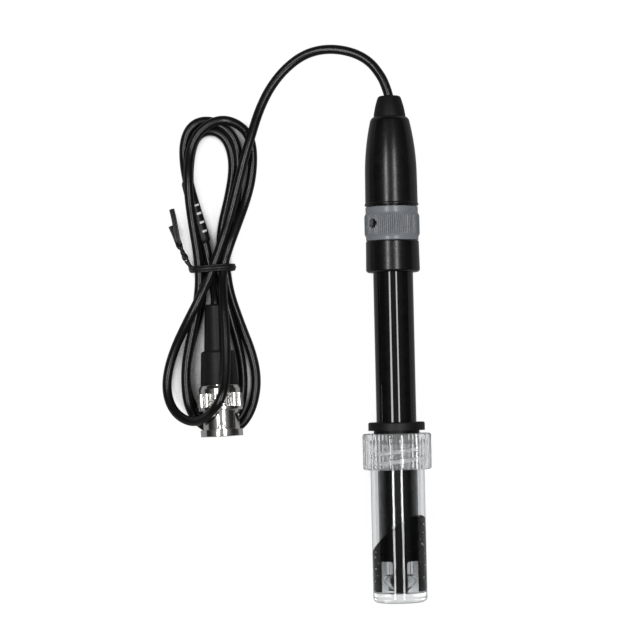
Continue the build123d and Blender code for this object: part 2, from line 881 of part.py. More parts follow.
# Twist tie: a band round the hank and the lead, with two twisted tails
waist_r = waist_width / 2
hank_height = 2 * cable_diameter
band_side = waist_r + tie_clearance
band_shoulder = hank_height + tie_clearance
band_top = hank_height + cable_diameter + band_rise
band_corners = [
    (-band_side, tie_thickness),
    (band_side, tie_thickness),
    (band_side, band_shoulder),
    (band_right, band_top),
    (band_left, band_top),
    (-band_side, band_shoulder),
]
with BuildPart() as twist_tie:
    with BuildSketch(Plane((tie_x, tie_y + tie_width / 2, 0), x_dir=(1, 0, 0), z_dir=(0, -1, 0))):
        with BuildLine():
            Polyline(*band_corners, close=True)
        make_face()
        offset(amount=tie_thickness, kind=Kind.ARC)
        with BuildLine():
            Polyline(*band_corners, close=True)
        make_face(mode=Mode.SUBTRACT)
    extrude(amount=tie_width)
    for tail in tie_tails:
        with BuildLine() as tail_path:
            FilletPolyline(*tail, radius=tail_bend)
        with BuildSketch(Plane(tail_path.line @ 0, z_dir=tail_path.line % 0)):
            Circle(tail_diameter / 2)
        sweep(path=tail_path.line)

# Hank: two layers of turns in the upper loop and the waist, one layer in the lower loop
with BuildPart() as cable_hank:
    with BuildSketch():
        add(teardrop(top_outer_x, top_outer_y, top_outer_radius, tie_x, tie_y, waist_r))
        add(
            teardrop(top_inner_x, top_inner_y, top_inner_radius, tie_x, top_slit_y, slit_radius),
            mode=Mode.SUBTRACT,
        )
    extrude(amount=hank_height)
    with BuildSketch():
        add(teardrop(low_outer_x, low_outer_y, low_outer_radius, tie_x, tie_y, waist_r))
        add(
            teardrop(low_inner_x, low_inner_y, low_inner_radius, tie_x, low_slit_y, slit_radius),
            mode=Mode.SUBTRACT,
        )
    extrude(amount=cable_diameter)
    add(twist_tie.part, mode=Mode.SUBTRACT)
    add(label_sleeve.part, mode=Mode.SUBTRACT)

pieces = {
    "bottle": bottle,
    "bottle_cap": bottle_cap,
    "cap_seal": cap_seal,
    "body_tube": body_tube,
    "glass_electrode": glass_electrode,
    "end_plug": end_plug,
    "junction": junction,
    "top_plug": top_plug,
    "stem_stopper": stem_stopper,
    "measuring_wire": measuring_wire,
    "reference_wire": reference_wire,
    "head_collar": head_collar,
    "ring_seal_lower": ring_seal_lower,
    "ring_seal_upper": ring_seal_upper,
    "refill_ring": refill_ring,
    "head_cap": head_cap,
    "cable_boot": cable_boot,
    "coupling_nut": coupling_nut,
    "plug_body": plug_body,
    "plug_insulator": plug_insulator,
    "centre_pin": centre_pin,
    "plug_gasket": plug_gasket,
    "wave_washer": wave_washer,
    "retaining_ring": retaining_ring,
    "crimp_ferrule": crimp_ferrule,
    "plug_boot": plug_boot,
    "cable_lead": cable_lead,
    "cable_tail": cable_tail,
    "cable_hank": cable_hank,
    "label_sleeve": label_sleeve,
    "twist_tie": twist_tie,
}

os.makedirs("parts", exist_ok=True)
for name, piece in pieces.items():
    piece.part.label = name
    export_step(piece.part, f"parts/{name}.step")
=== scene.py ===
"""Looks of a pH electrode: finishes, cable, tie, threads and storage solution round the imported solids."""

import json
from math import cos, pi, radians, sin

import bmesh
import bpy
import numpy as np
from mathutils import Matrix, Vector


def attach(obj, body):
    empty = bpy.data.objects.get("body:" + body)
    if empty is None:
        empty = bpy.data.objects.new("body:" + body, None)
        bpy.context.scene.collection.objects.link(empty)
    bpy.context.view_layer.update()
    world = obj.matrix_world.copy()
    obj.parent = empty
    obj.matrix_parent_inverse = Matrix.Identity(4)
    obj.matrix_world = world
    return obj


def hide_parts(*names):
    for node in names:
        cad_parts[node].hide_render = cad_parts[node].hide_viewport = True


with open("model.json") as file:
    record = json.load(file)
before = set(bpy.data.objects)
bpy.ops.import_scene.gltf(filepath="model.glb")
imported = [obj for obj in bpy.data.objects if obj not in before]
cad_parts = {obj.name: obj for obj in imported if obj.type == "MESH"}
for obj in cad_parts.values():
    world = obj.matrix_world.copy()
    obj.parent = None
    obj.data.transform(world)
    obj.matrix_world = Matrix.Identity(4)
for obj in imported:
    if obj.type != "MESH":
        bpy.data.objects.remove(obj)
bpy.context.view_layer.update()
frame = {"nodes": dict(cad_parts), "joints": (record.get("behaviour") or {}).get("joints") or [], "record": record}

MM = 0.001
UP = Vector((0, 0, 1))
nodes = frame["nodes"]
record = frame["record"]
mounts = {mount["name"]: mount for mount in record["mounts"]}
joints = {joint["name"]: joint for joint in frame["joints"]}


def axis_frame(origin, along):
    """Placement with y along an axis, x level and z as far up as it goes."""
    y = Vector(along).normalized()
    x = y.cross(UP).normalized()
    placed = Matrix((x, y, x.cross(y))).transposed().to_4x4()
    placed.translation = Vector(origin)
    return placed


# The electrode's axis starts at the bottom of its bottle, and the plug's at its open nose.
probe = axis_frame(mounts["bottle_base"]["pos_m"], joints["refill_ring_turn"]["axis"])
plug = axis_frame(mounts["bayonet_plug"]["pos_m"], joints["plug_nut_turn"]["axis"])


def on_axis(placed, station):
    """Point on an axis, at a station in millimetres."""
    return placed @ Vector((0, station * MM, 0))


def around(placed, radius, station, angle):
    """Point at a radius and station in millimetres, its angle from the top towards +x."""
    return placed @ (Vector((radius * sin(angle), station, radius * cos(angle))) * MM)


# The photo looks straight down, from a place and with a scale found from the electrode in it.
photo_middle = 320
photo_pixel = 0.30094
camera_x = -22.3
camera_y = 9.0
camera_height = 759.0
camera_distance = 750.0
camera_roll = radians(-1.25)


# The storage solution fills the bottom of the bottle round the tube's tip, higher on one side.
solution_radius = 6.93
solution_floor = 2.77
solution_level = 20.1
solution_swing = 6.0
solution_turn = radians(38)
surface_edge = 0.05 * MM
bottle_mid_wall = 7.5 * MM
air_to_plastic = 1.49
air_to_solution = 1.333


def solution_surface():
    """A point of the solution's slanted surface, and its normal."""
    slant = solution_swing / solution_radius
    normal = Vector((-slant * cos(solution_turn), 1, -slant * sin(solution_turn)))
    return on_axis(probe, solution_level), (probe.to_3x3() @ normal).normalized()


# Finishes


def product(tree, one, other):
    times = tree.nodes.new("ShaderNodeMath")
    times.operation = "MULTIPLY"
    tree.links.new(one, times.inputs[0])
    tree.links.new(other, times.inputs[1])
    return times.outputs[0]


def spread(tree, value, low, high, to_low, to_high):
    """Value brought from one range to another and held within it."""
    span = tree.nodes.new("ShaderNodeMapRange")
    for socket, level in (("From Min", low), ("From Max", high), ("To Min", to_low), ("To Max", to_high)):
        span.inputs[socket].default_value = level
    tree.links.new(value, span.inputs["Value"])
    return span.outputs["Result"]


def vector_step(tree, operation, one, other=None):
    """Vector sum worked on a socket, with a fixed second vector if it takes one."""
    step = tree.nodes.new("ShaderNodeVectorMath")
    step.operation = operation
    tree.links.new(one, step.inputs[0])
    if other is not None:
        step.inputs[1].default_value = other
    return step


class Finish:
    """Principled material with textures that follow the object's own place, in features per metre."""

    def __init__(self, name, color, **sockets):
        self.material = bpy.data.materials.new(name)
        self.material.use_nodes = True
        self.tree = self.material.node_tree
        self.shader = self.tree.nodes["Principled BSDF"]
        self.shader.inputs["Base Color"].default_value = (*color, 1)
        for socket, value in sockets.items():
            self.shader.inputs[socket.replace("_", " ")].default_value = value
        self.place = self.tree.nodes.new("ShaderNodeTexCoord").outputs["Object"]

    def noise(self, scale, stretch=(1, 1, 1), detail=3.0):
        """Cloudy pattern; a stretch under 1 draws it out along that axis."""
        mapping = self.tree.nodes.new("ShaderNodeMapping")
        mapping.inputs["Scale"].default_value = stretch
        texture = self.tree.nodes.new("ShaderNodeTexNoise")
        texture.inputs["Scale"].default_value = scale
        texture.inputs["Detail"].default_value = detail
        self.tree.links.new(self.place, mapping.inputs["Vector"])
        self.tree.links.new(mapping.outputs["Vector"], texture.inputs["Vector"])
        return texture.outputs[0]

    def between(self, pattern, low, high):
        """Pattern brought to a range of values."""
        return spread(self.tree, pattern, 0.3, 0.7, low, high)

    def rough(self, pattern, low, high):
        return self.drive("Roughness", self.between(pattern, low, high))

    def shade(self, pattern, dark, light):
        """Colour that drifts between two tones."""
        mix = self.tree.nodes.new("ShaderNodeMix")
        mix.data_type = "RGBA"
        mix.inputs[6].default_value = (*dark, 1)
        mix.inputs[7].default_value = (*light, 1)
        self.tree.links.new(self.between(pattern, 0, 1), mix.inputs["Factor"])
        self.tree.links.new(mix.outputs[2], self.shader.inputs["Base Color"])
        return self

    def ahead(self, point, normal):
        """How far a place lies ahead of a plane, in metres."""
        away = vector_step(self.tree, "SUBTRACT", self.place, point)
        return vector_step(self.tree, "DOT_PRODUCT", away.outputs["Vector"], normal).outputs["Value"]

    def off_axis(self, placed):
        """How far a place lies from an axis, in metres."""
        away = vector_step(self.tree, "SUBTRACT", self.place, placed.translation)
        aside = vector_step(self.tree, "CROSS_PRODUCT", away.outputs["Vector"], placed.col[1].xyz)
        return vector_step(self.tree, "LENGTH", aside.outputs["Vector"]).outputs["Value"]

    def drive(self, socket, value):
        self.tree.links.new(value, self.shader.inputs[socket])
        return self

    def paint_hollow_shade(self, reach):
        """Painted shade: colour darkened in holes and grooves narrower than a reach in millimetres."""
        shut = self.tree.nodes.new("ShaderNodeAmbientOcclusion")
        shut.samples = 8
        shut.only_local = True
        shut.inputs["Distance"].default_value = reach * MM
        base = self.shader.inputs["Base Color"]
        self.tree.links.new(base.links[0].from_socket, shut.inputs["Color"])
        self.tree.links.new(shut.outputs["Color"], base)
        return self

    def soften(self, radius):
        """Light on edges as if they were rounded to a radius in millimetres."""
        rounded = self.tree.nodes.new("ShaderNodeBevel")
        rounded.samples = 6
        rounded.inputs["Radius"].default_value = radius * MM
        self.tree.links.new(rounded.outputs["Normal"], self.shader.inputs["Normal"])
        return self

    def relief(self, pattern, depth):
        """Bumps of a depth in millimetres, laid over softened edges where there are any."""
        bump = self.tree.nodes.new("ShaderNodeBump")
        bump.inputs["Strength"].default_value = 1.0
        bump.inputs["Distance"].default_value = depth * MM
        self.tree.links.new(pattern, bump.inputs["Height"])
        earlier = self.shader.inputs["Normal"].links
        if earlier:
            self.tree.links.new(earlier[0].from_socket, bump.inputs["Normal"])
        self.tree.links.new(bump.outputs["Normal"], self.shader.inputs["Normal"])
        return self


def grey(level):
    return (level, level, level)


def tube_black():
    """Gloss that fades below the solution, where there is no air against the tube."""
    finish = Finish("gloss_black", grey(0.004))
    dry = finish.ahead(*solution_surface())
    finish.drive("Specular IOR Level", spread(finish.tree, dry, -surface_edge, surface_edge, 0.04, 0.45))
    finish.shade(finish.noise(400), grey(0.003), grey(0.006))
    finish.rough(finish.noise(1500, (1, 0.05, 1)), 0.015, 0.045)
    finish.relief(finish.noise(140, (1, 0.3, 1), 1), 0.012)
    return finish


def head_black():
    finish = Finish("moulded_black", grey(0.005), Specular_IOR_Level=0.4)
    finish.shade(finish.noise(300), grey(0.004), grey(0.007))
    finish.rough(finish.noise(900), 0.21, 0.28)
    finish.relief(finish.noise(2500), 0.0003)
    return finish


def ring_grey():
    finish = Finish("moulded_grey", (0.19, 0.205, 0.225), Specular_IOR_Level=0.4)
    finish.shade(finish.noise(260), (0.175, 0.19, 0.21), (0.205, 0.22, 0.24))
    # Painted shade darkens the ring's hole and the grooves between its ribs.
    finish.paint_hollow_shade(3)
    finish.rough(finish.noise(1200), 0.23, 0.29)
    finish.soften(0.2)
    finish.relief(finish.noise(2500), 0.0004)
    return finish


def clear_plastic():
    """Clear wall that bends light less where the solution lies against its inside."""
    finish = Finish("clear_moulding", (0.79, 0.8, 0.81), Transmission_Weight=1.0)
    tree = finish.tree
    wet = spread(tree, finish.ahead(*solution_surface()), -surface_edge, surface_edge, 1, 0)
    inside = spread(tree, finish.off_axis(probe), bottle_mid_wall, bottle_mid_wall + surface_edge, 1, 0)
    floor_top = finish.ahead(on_axis(probe, solution_floor / 2), probe.col[1].xyz)
    touched = product(tree, product(tree, wet, inside), spread(tree, floor_top, 0, surface_edge, 0, 1))
    finish.drive("IOR", spread(tree, touched, 0, 1, air_to_plastic, air_to_plastic / air_to_solution))
    finish.rough(finish.noise(900), 0.0, 0.05)
    finish.relief(finish.noise(90, (1, 0.4, 1), 1), 0.03)
    return finish


def hazy_plastic():
    """Ribbed cap, which catches more light than the smooth bottle."""
    finish = Finish("hazy_moulding", (0.97, 0.98, 0.99), Transmission_Weight=0.86, IOR=air_to_plastic)
    finish.rough(finish.noise(900), 0.01, 0.04)
    finish.relief(finish.noise(120, (1, 0.4, 1), 1), 0.004)
    return finish


def thread_painted_highlight():
    """Thread painted pale: painted highlight that stands for the glints which show the clear thread as pale lines
    through the cap.
    """
    finish = Finish("thread_painted_highlight_moulding", (0.95, 0.96, 0.97))
    finish.rough(finish.noise(900), 0.2, 0.35)
    return finish


def soft_black():
    finish = Finish("dull_rubber", grey(0.006), Specular_IOR_Level=0.25)
    finish.shade(finish.noise(500), grey(0.005), grey(0.008))
    finish.rough(finish.noise(1600), 0.42, 0.54)
    finish.relief(finish.noise(4000), 0.001)
    return finish


def gasket_red():
    finish = Finish("gasket_rubber", (0.2, 0.03, 0.025))
    finish.rough(finish.noise(1600), 0.5, 0.6)
    return finish


def blown_glass():
    finish = Finish("blown_glass", (0.98, 0.99, 0.98), Transmission_Weight=1.0, IOR=1.47, Roughness=0.0)
    finish.relief(finish.noise(120, detail=1), 0.01)
    return finish


def plug_resin():
    finish = Finish("cast_resin", grey(0.02))
    finish.rough(finish.noise(800), 0.35, 0.5)
    return finish


def porous_white():
    finish = Finish("porous_ceramic", (0.8, 0.78, 0.72), Roughness=0.8)
    finish.relief(finish.noise(9000), 0.02)
    return finish


def silver_wire():
    finish = Finish("drawn_silver", (0.82, 0.81, 0.78), Metallic=1.0)
    finish.rough(finish.noise(2500, (1, 0.02, 1)), 0.15, 0.3)
    return finish


def cable_jacket():
    finish = Finish("cable_jacket", grey(0.005), Specular_IOR_Level=0.4)
    finish.shade(finish.noise(80, detail=1), grey(0.0045), grey(0.006))
    finish.rough(finish.noise(110, detail=1), 0.25, 0.29)
    return finish


def sleeve_black():
    finish = Finish("shrunk_sleeve", grey(0.006), Specular_IOR_Level=0.3)
    finish.shade(finish.noise(400), grey(0.005), grey(0.009))
    finish.rough(finish.noise(900), 0.35, 0.48)
    finish.relief(finish.noise(1400), 0.008)
    return finish


def tie_black():
    finish = Finish("tie_plastic", grey(0.006), Specular_IOR_Level=0.35)
    finish.shade(finish.noise(500), grey(0.005), grey(0.01))
    finish.rough(finish.noise(1200), 0.3, 0.45)
    finish.relief(finish.noise(1800), 0.012)
    return finish


def bright_nickel():
    finish = Finish("bright_nickel", (0.79, 0.78, 0.76), Metallic=1.0)
    finish.shade(finish.noise(300), (0.74, 0.73, 0.71), (0.83, 0.82, 0.8))
    finish.rough(finish.noise(2200), 0.12, 0.19)
    finish.soften(0.12)
    finish.relief(finish.noise(500), 0.0003)
    return finish


def white_insulator():
    finish = Finish("white_insulator", grey(0.8), Roughness=0.4)
    finish.shade(finish.noise(600), (0.78, 0.77, 0.74), (0.84, 0.83, 0.8))
    return finish


def gold_pin():
    finish = Finish("gold_plating", (0.83, 0.6, 0.25), Metallic=1.0)
    finish.rough(finish.noise(2500), 0.12, 0.22)
    return finish


def storage_solution():
    """Clear liquid whose free surface bends light; its sides lie in the wall, which bends it there."""
    finish = Finish("storage_solution", (0.86, 0.87, 0.87), Transmission_Weight=1.0, Roughness=0.0)
    depth = finish.ahead(*solution_surface())
    free = spread(finish.tree, depth, -2 * surface_edge, -surface_edge, 1.0, air_to_solution)
    return finish.drive("IOR", free)


def bubble_painted_reflection():
    """Air in the solution, painted near white: painted reflection that stands for the light its skin throws back,
    seen as bright specks.
    """
    return Finish("bubble_painted_reflection", grey(0.9), Roughness=0.2)


def label_ink():
    finish = Finish("label_ink", grey(0.75), Roughness=0.6)
    finish.shade(finish.noise(5000), grey(0.55), grey(0.85))
    return finish


materials = {
    "tube_black": tube_black().material,
    "head_black": head_black().material,
    "ring_grey": ring_grey().material,
    "clear_plastic": clear_plastic().material,
    "soft_black": soft_black().material,
    "gasket_red": gasket_red().material,
    "glass": blown_glass().material,
    "plug_resin": plug_resin().material,
    "porous_white": porous_white().material,
    "silver_wire": silver_wire().material,
    "cable_jacket": cable_jacket().material,
    "sleeve_black": sleeve_black().material,
    "tie_black": tie_black().material,
    "bright_nickel": bright_nickel().material,
    "white_insulator": white_insulator().material,
    "gold_pin": gold_pin().material,
}
for subpart in record["subparts"]:
    mesh = nodes[subpart["node"]].data
    mesh.materials.clear()
    mesh.materials.append(materials[subpart["material_slot"]])
nodes["bottle_cap"].data.materials[0] = hazy_plastic().material


# Building pieces

crease = radians(40)


def add_object(name, data, material):
    made = bpy.data.objects.new(name, data)
    bpy.context.scene.collection.objects.link(made)
    data.materials.append(material)
    return made


def mesh_from(name, bm):
    """Mesh with outward normals, smooth up to the crease angle."""
    bmesh.ops.recalc_face_normals(bm, faces=bm.faces)
    mesh = bpy.data.meshes.new(name)
    bm.to_mesh(mesh)
    bm.free()
    mesh.shade_smooth()
    mesh.set_sharp_from_angle(angle=crease)
    return mesh


def loft(name, rings):
    """Skin over rings of equally many points, with a cap on each end."""
    bm = bmesh.new()
    rows = [[bm.verts.new(point) for point in ring] for ring in rings]
    for here, there in zip(rows, rows[1:]):
        for i in range(len(here)):
            j = (i + 1) % len(here)
            bm.faces.new((here[i], here[j], there[j], there[i]))
    bm.faces.new(rows[0])
    bm.faces.new(rows[-1])
    return mesh_from(name, bm)


def nurbs(name, points, resolution):
    """Open smooth curve drawn by control points in millimetres."""
    curve = bpy.data.curves.new(name, "CURVE")
    curve.dimensions = "3D"
    curve.resolution_u = resolution
    spline = curve.splines.new("NURBS")
    spline.points.add(len(points) - 1)
    for control, point in zip(spline.points, points):
        control.co = (*(Vector(point) * MM), 1)
    spline.order_u = 3
    spline.use_endpoint_u = True
    return curve


def line_of(curve):
    """Points along a curve that has no thickness yet."""
    bare = bpy.data.objects.new("bare_line", curve)
    bpy.context.scene.collection.objects.link(bare)
    read = bpy.data.meshes.new_from_object(bare.evaluated_get(bpy.context.evaluated_depsgraph_get()))
    points = [vertex.co.copy() for vertex in read.vertices]
    bpy.data.meshes.remove(read)
    bpy.data.objects.remove(bare)
    return points


def tangents(line):
    last = len(line) - 1
    return [(line[min(i + 1, last)] - line[max(i - 1, 0)]).normalized() for i in range(last + 1)]


# Cable: points of its middle line, read off the photo as pixels across and down, each with a guessed
# height in millimetres. The lead comes out of the boot, goes through the tie, round a loose loop and over
# the plug. The tied half turns follow, each from one pass of the tie to the next, and the tail goes into
# the plug.
cable_diameter = 2.8
boot_top = 152.1
boot_edge = 0.6
cable_hold = 4.9
exit_run = 1.0
entry_run = 1.5
plug_end = 39.8
lead_trace = [
    (386.9, 92.0, 7.2), (385.8, 88.0, 7.1), (382.9, 80.0, 6.9), (378.5, 72.0, 6.6), (371.4, 63.9, 6.2),
    (360.3, 56.1, 5.6), (350.0, 52.2, 5.1), (340.0, 49.9, 4.6), (330.0, 49.4, 4.1), (320.0, 50.3, 3.6),
    (310.0, 53.1, 3.1), (300.0, 57.8, 2.7), (290.6, 64.5, 2.4), (282.6, 72.2, 2.2), (275.6, 80.3, 2.2),
    (269.1, 90.2, 2.4), (263.8, 100.2, 2.8), (259.5, 110.0, 3.4), (253.3, 128.8, 4.4),
    (249.7, 141.3, 5.4), (246.3, 151.5, 5.8), (243.0, 164.0, 5.6), (240.5, 173.0, 5.6),
    (237.8, 184.4, 5.4), (235.0, 195.7, 5.4), (232.0, 207.0, 5.4), (229.2, 218.4, 5.4),
    (225.8, 229.7, 6.0), (221.9, 241.1, 6.5), (218.1, 252.4, 6.5), (214.4, 263.7, 5.9),
    (210.6, 274.0, 5.9), (207.2, 282.0, 6.5), (203.4, 290.0, 7.1), (196.2, 305.0, 7.3),
    (188.4, 320.0, 6.4), (181.0, 335.0, 4.5), (174.6, 350.0, 2.9), (169.9, 365.0, 2.1),
    (167.8, 375.0, 2.0), (167.0, 385.0, 2.4), (167.4, 393.0, 3.0), (169.4, 401.0, 3.9),
    (174.0, 410.0, 5.3), (180.5, 416.6, 7.2), (188.0, 420.4, 9.2), (196.0, 421.4, 11.2),
    (203.6, 418.9, 13.4), (209.0, 414.6, 15.4), (213.3, 409.5, 17.2), (217.3, 404.5, 18.2),
    (220.4, 399.0, 18.6), (223.2, 391.0, 18.2), (225.0, 381.0, 16.8), (225.8, 370.0, 15.6),
    (226.1, 355.0, 14.6), (226.0, 345.0, 13.8), (225.5, 335.0, 13.0), (224.6, 322.0, 12.2),
    (223.8, 310.0, 11.3), (222.9, 295.0, 9.2), (222.8, 282.0, 7.0), (223.6, 268.0, 5.2),
]
turn_traces = [
    [
        (227.3, 252.4, 5.8), (231.2, 241.0, 5.6), (235.4, 229.7, 4.6), (239.6, 218.4, 3.2),
        (243.6, 207.0, 2.1), (247.2, 195.7, 1.5), (250.2, 184.4, 1.5), (252.0, 173.0, 1.5),
        (252.7, 162.0, 1.5), (252.5, 152.0, 1.5), (251.3, 144.0, 1.5), (249.2, 137.6, 1.6),
        (246.2, 132.6, 1.9), (242.4, 128.2, 2.4), (238.0, 124.9, 3.0), (233.4, 122.6, 3.6),
        (228.6, 121.0, 4.1), (223.2, 120.4, 4.4), (218.2, 120.9, 4.5), (213.6, 122.4, 4.5),
        (209.0, 124.7, 4.5), (204.4, 127.6, 4.5), (200.4, 131.0, 4.5), (196.8, 135.6, 4.5),
        (193.8, 141.3, 4.5), (191.5, 147.2, 4.5), (189.9, 153.8, 4.6), (188.9, 161.7, 5.2),
        (188.3, 170.8, 6.2), (188.2, 179.8, 6.9), (188.4, 188.9, 7.1), (189.1, 198.0, 6.8),
        (190.2, 207.0, 6.2), (191.5, 216.1, 5.6), (192.9, 225.2, 5.2), (194.3, 234.3, 4.9),
        (195.7, 243.3, 4.9), (197.1, 252.4, 4.9), (198.4, 261.5, 4.9), (199.2, 268.0, 4.9),
    ],
    [
        (199.6, 275.0, 4.9), (199.5, 282.0, 4.8), (198.7, 290.0, 4.7), (197.1, 305.0, 4.5),
        (194.8, 320.0, 4.3), (191.9, 335.0, 4.2), (188.0, 350.0, 4.2), (186.2, 365.0, 4.2),
        (185.7, 375.0, 4.2), (185.9, 385.0, 4.2), (186.8, 396.0, 4.0), (189.2, 406.5, 3.6),
        (193.4, 415.0, 2.7), (199.6, 422.2, 1.6), (206.5, 427.4, 1.4), (214.0, 430.4, 1.4),
        (222.0, 431.4, 1.4), (230.5, 430.2, 1.4), (238.8, 426.2, 1.4), (245.6, 419.4, 1.4),
        (250.4, 410.5, 1.4), (253.8, 400.0, 1.4), (255.7, 390.0, 1.4), (256.1, 382.0, 1.4),
        (255.7, 375.0, 1.4), (254.3, 365.0, 1.4), (252.0, 355.0, 1.4), (250.4, 350.0, 1.4),
        (246.9, 340.0, 1.4), (243.1, 330.0, 1.4), (239.2, 320.0, 1.4), (234.9, 308.0, 1.5),
        (229.6, 291.0, 1.7), (227.4, 280.0, 1.9), (226.0, 268.0, 2.0),
    ],
    [
        (222.6, 256.0, 1.6), (220.6, 243.0, 1.4), (222.2, 229.0, 1.4), (224.3, 216.1, 1.5),
        (226.8, 204.8, 1.5), (229.3, 195.0, 1.5), (231.2, 184.4, 1.5), (232.3, 175.3, 1.5),
        (232.7, 167.0, 1.5), (232.1, 158.0, 1.5), (230.8, 151.0, 1.5), (228.5, 144.5, 1.5),
        (225.3, 139.0, 1.5), (221.0, 134.6, 1.5), (215.6, 131.8, 1.5), (209.4, 130.9, 1.5),
        (203.4, 132.4, 1.5), (198.4, 136.0, 1.5), (194.8, 141.4, 1.5), (192.2, 148.6, 1.5),
        (190.4, 157.0, 1.5), (189.4, 166.0, 1.5), (189.2, 176.0, 1.4), (189.6, 188.0, 1.4),
        (190.6, 202.0, 1.4), (192.6, 218.0, 1.6), (195.6, 234.0, 1.9), (198.2, 248.0, 2.0),
        (199.2, 259.0, 2.0), (199.8, 268.0, 2.0),
    ],
    [
        (201.4, 276.0, 2.0), (202.6, 284.0, 1.9), (202.6, 294.0, 1.8), (200.9, 305.0, 1.6),
        (197.4, 320.0, 1.4), (193.2, 335.0, 1.4), (189.4, 350.0, 1.4), (186.9, 363.0, 1.4),
        (186.0, 375.0, 1.4), (186.4, 386.0, 1.4), (189.4, 397.5, 1.4), (194.2, 408.0, 1.4),
        (200.4, 415.8, 1.4), (208.2, 420.8, 1.4), (217.0, 423.2, 1.4), (226.0, 421.6, 1.4),
        (234.0, 416.4, 1.4), (239.4, 408.0, 1.4), (242.2, 397.0, 1.4), (243.0, 386.0, 1.4),
        (242.9, 376.0, 1.4), (242.0, 366.0, 1.4), (239.8, 351.5, 1.4), (237.0, 341.0, 1.4),
        (233.9, 330.0, 1.4), (230.8, 320.0, 1.4), (228.2, 310.0, 1.5), (225.4, 297.0, 1.7),
        (221.6, 282.0, 2.0), (217.9, 268.0, 2.1),
    ],
    [
        (221.0, 256.0, 4.0), (226.2, 243.5, 4.2), (230.0, 231.0, 3.0), (233.2, 217.0, 2.0),
        (235.6, 203.0, 1.6), (237.4, 189.0, 1.6), (238.3, 175.0, 1.5), (238.4, 162.0, 1.5),
        (237.4, 151.5, 1.5), (235.0, 142.5, 1.5), (231.4, 135.4, 1.5), (226.6, 129.6, 1.5),
        (220.6, 125.2, 1.5), (213.4, 122.2, 1.5), (205.6, 121.3, 1.5), (198.6, 122.6, 1.5),
        (193.0, 125.8, 1.6), (188.8, 130.6, 1.7), (186.0, 136.4, 1.8), (184.4, 143.4, 1.8),
        (183.8, 151.0, 1.8), (184.0, 159.0, 1.8), (184.7, 167.0, 2.5), (186.1, 176.0, 3.4),
        (188.2, 186.0, 4.1), (191.0, 196.6, 4.2), (194.3, 207.0, 3.9), (197.6, 217.6, 3.4),
        (200.9, 228.6, 2.9), (204.3, 240.5, 2.4), (207.2, 251.4, 2.1), (208.8, 261.0, 2.0),
        (209.6, 268.0, 2.0),
    ],
]
tail_trace = [
    (211.2, 276.0, 2.6), (213.2, 284.0, 3.9), (214.6, 292.0, 5.4), (215.5, 299.0, 6.6),
]

# Smooth curve fitted to those points, with its control points closer where the line bends
control_count = 114
line_step = 0.4
longest_span = 9.0
shortest_span = 3.2
bend_pull = 1.3
bend_window = 15
evenness = 0.12
control_decimals = 1


def from_photo(across, down, height):
    """Point in millimetres at a height, under a pixel of the photo."""
    pixel = photo_pixel * (camera_height - height) / camera_distance
    right = (across - photo_middle) * pixel
    up = (photo_middle - down) * pixel
    x = camera_x + right * cos(camera_roll) - up * sin(camera_roll)
    y = camera_y + right * sin(camera_roll) + up * cos(camera_roll)
    return x, y, height


def blend(one, other, low, high, place):
    """Point between two points, as a place lies between two values."""
    return ((high - place) * one + (place - low) * other) / (high - low)


def smooth_line(points):
    """Close points on a smooth line that runs through all the given ones."""
    points = np.array(points, float)
    framed = np.vstack([2 * points[0] - points[1], points, 2 * points[-1] - points[-2]])
    line = []
    for a, b, c, d in zip(framed, framed[1:], framed[2:], framed[3:]):
        steps = [np.linalg.norm(step) ** 0.5 for step in (b - a, c - b, d - c)]
        t0, t1, t2, t3 = np.cumsum([0, *steps])
        count = max(2, int(np.linalg.norm(c - b) / line_step))
        for t in np.linspace(t1, t2, count, endpoint=False):
            early = blend(a, b, t0, t1, t)
            middle = blend(b, c, t1, t2, t)
            late = blend(c, d, t2, t3, t)
            line.append(blend(blend(early, middle, t0, t2, t), blend(middle, late, t1, t3, t), t1, t2, t))
    return np.array([*line, points[-1]])


def running_sum(values):
    return np.concatenate([[0], np.cumsum(values)])


def places_on_curve(line, along):
    """Place of each point of a line on its curve, counted in spans that are shorter where it bends."""
    heading = np.gradient(line, axis=0)
    heading /= np.linalg.norm(heading, axis=1)[:, None]
    bend = np.linalg.norm(np.gradient(heading, axis=0), axis=1) / np.gradient(along)
    bend = np.convolve(bend, np.ones(bend_window) / bend_window, "same")
    density = np.minimum(1 / longest_span + bend_pull * bend, 1 / shortest_span)
    passed = running_sum((density[1:] + density[:-1]) / 2 * np.diff(along))
    return passed / passed[-1] * (control_count - 2)


def control_weights(place):
    """Share of each control point in the curve at a place."""
    last = control_count - 2
    knots = np.array([0, 0, *range(last + 1), last, last], float)
    k = min(int(place), last - 1) + 2
    shares = [1.0]
    for degree in (1, 2):
        wider = [0.0] * (degree + 1)
        for j, share in enumerate(shares):
            low = knots[k - degree + 1 + j]
            high = knots[k + 1 + j]
            wider[j] += share * (high - place) / (high - low)
            wider[j + 1] += share * (place - low) / (high - low)
        shares = wider
    weights = np.zeros(control_count)
    weights[k - 2 : k + 1] = shares
    return weights


def fit_curve(line):
    """Control points of the curve that lies nearest a line, evenly spread and with the line's ends."""
    along = running_sum(np.linalg.norm(np.diff(line, axis=0), axis=1))
    weights = np.array([control_weights(place) for place in places_on_curve(line, along)])
    stretch = np.sqrt(np.gradient(along))[:, None]
    jolts = np.zeros((control_count - 3, control_count))
    for i, jolt in enumerate(jolts):
        jolt[i : i + 4] = (-1, 3, -3, 1)
    terms = np.vstack([weights * stretch, jolts * evenness])
    wanted = np.vstack([line * stretch, np.zeros((control_count - 3, 3))])
    wanted -= terms[:, [0, -1]] @ line[[0, -1]]
    inner = np.linalg.lstsq(terms[:, 1:-1], wanted, rcond=None)[0]
    return np.round([line[0], *inner, line[-1]], control_decimals)


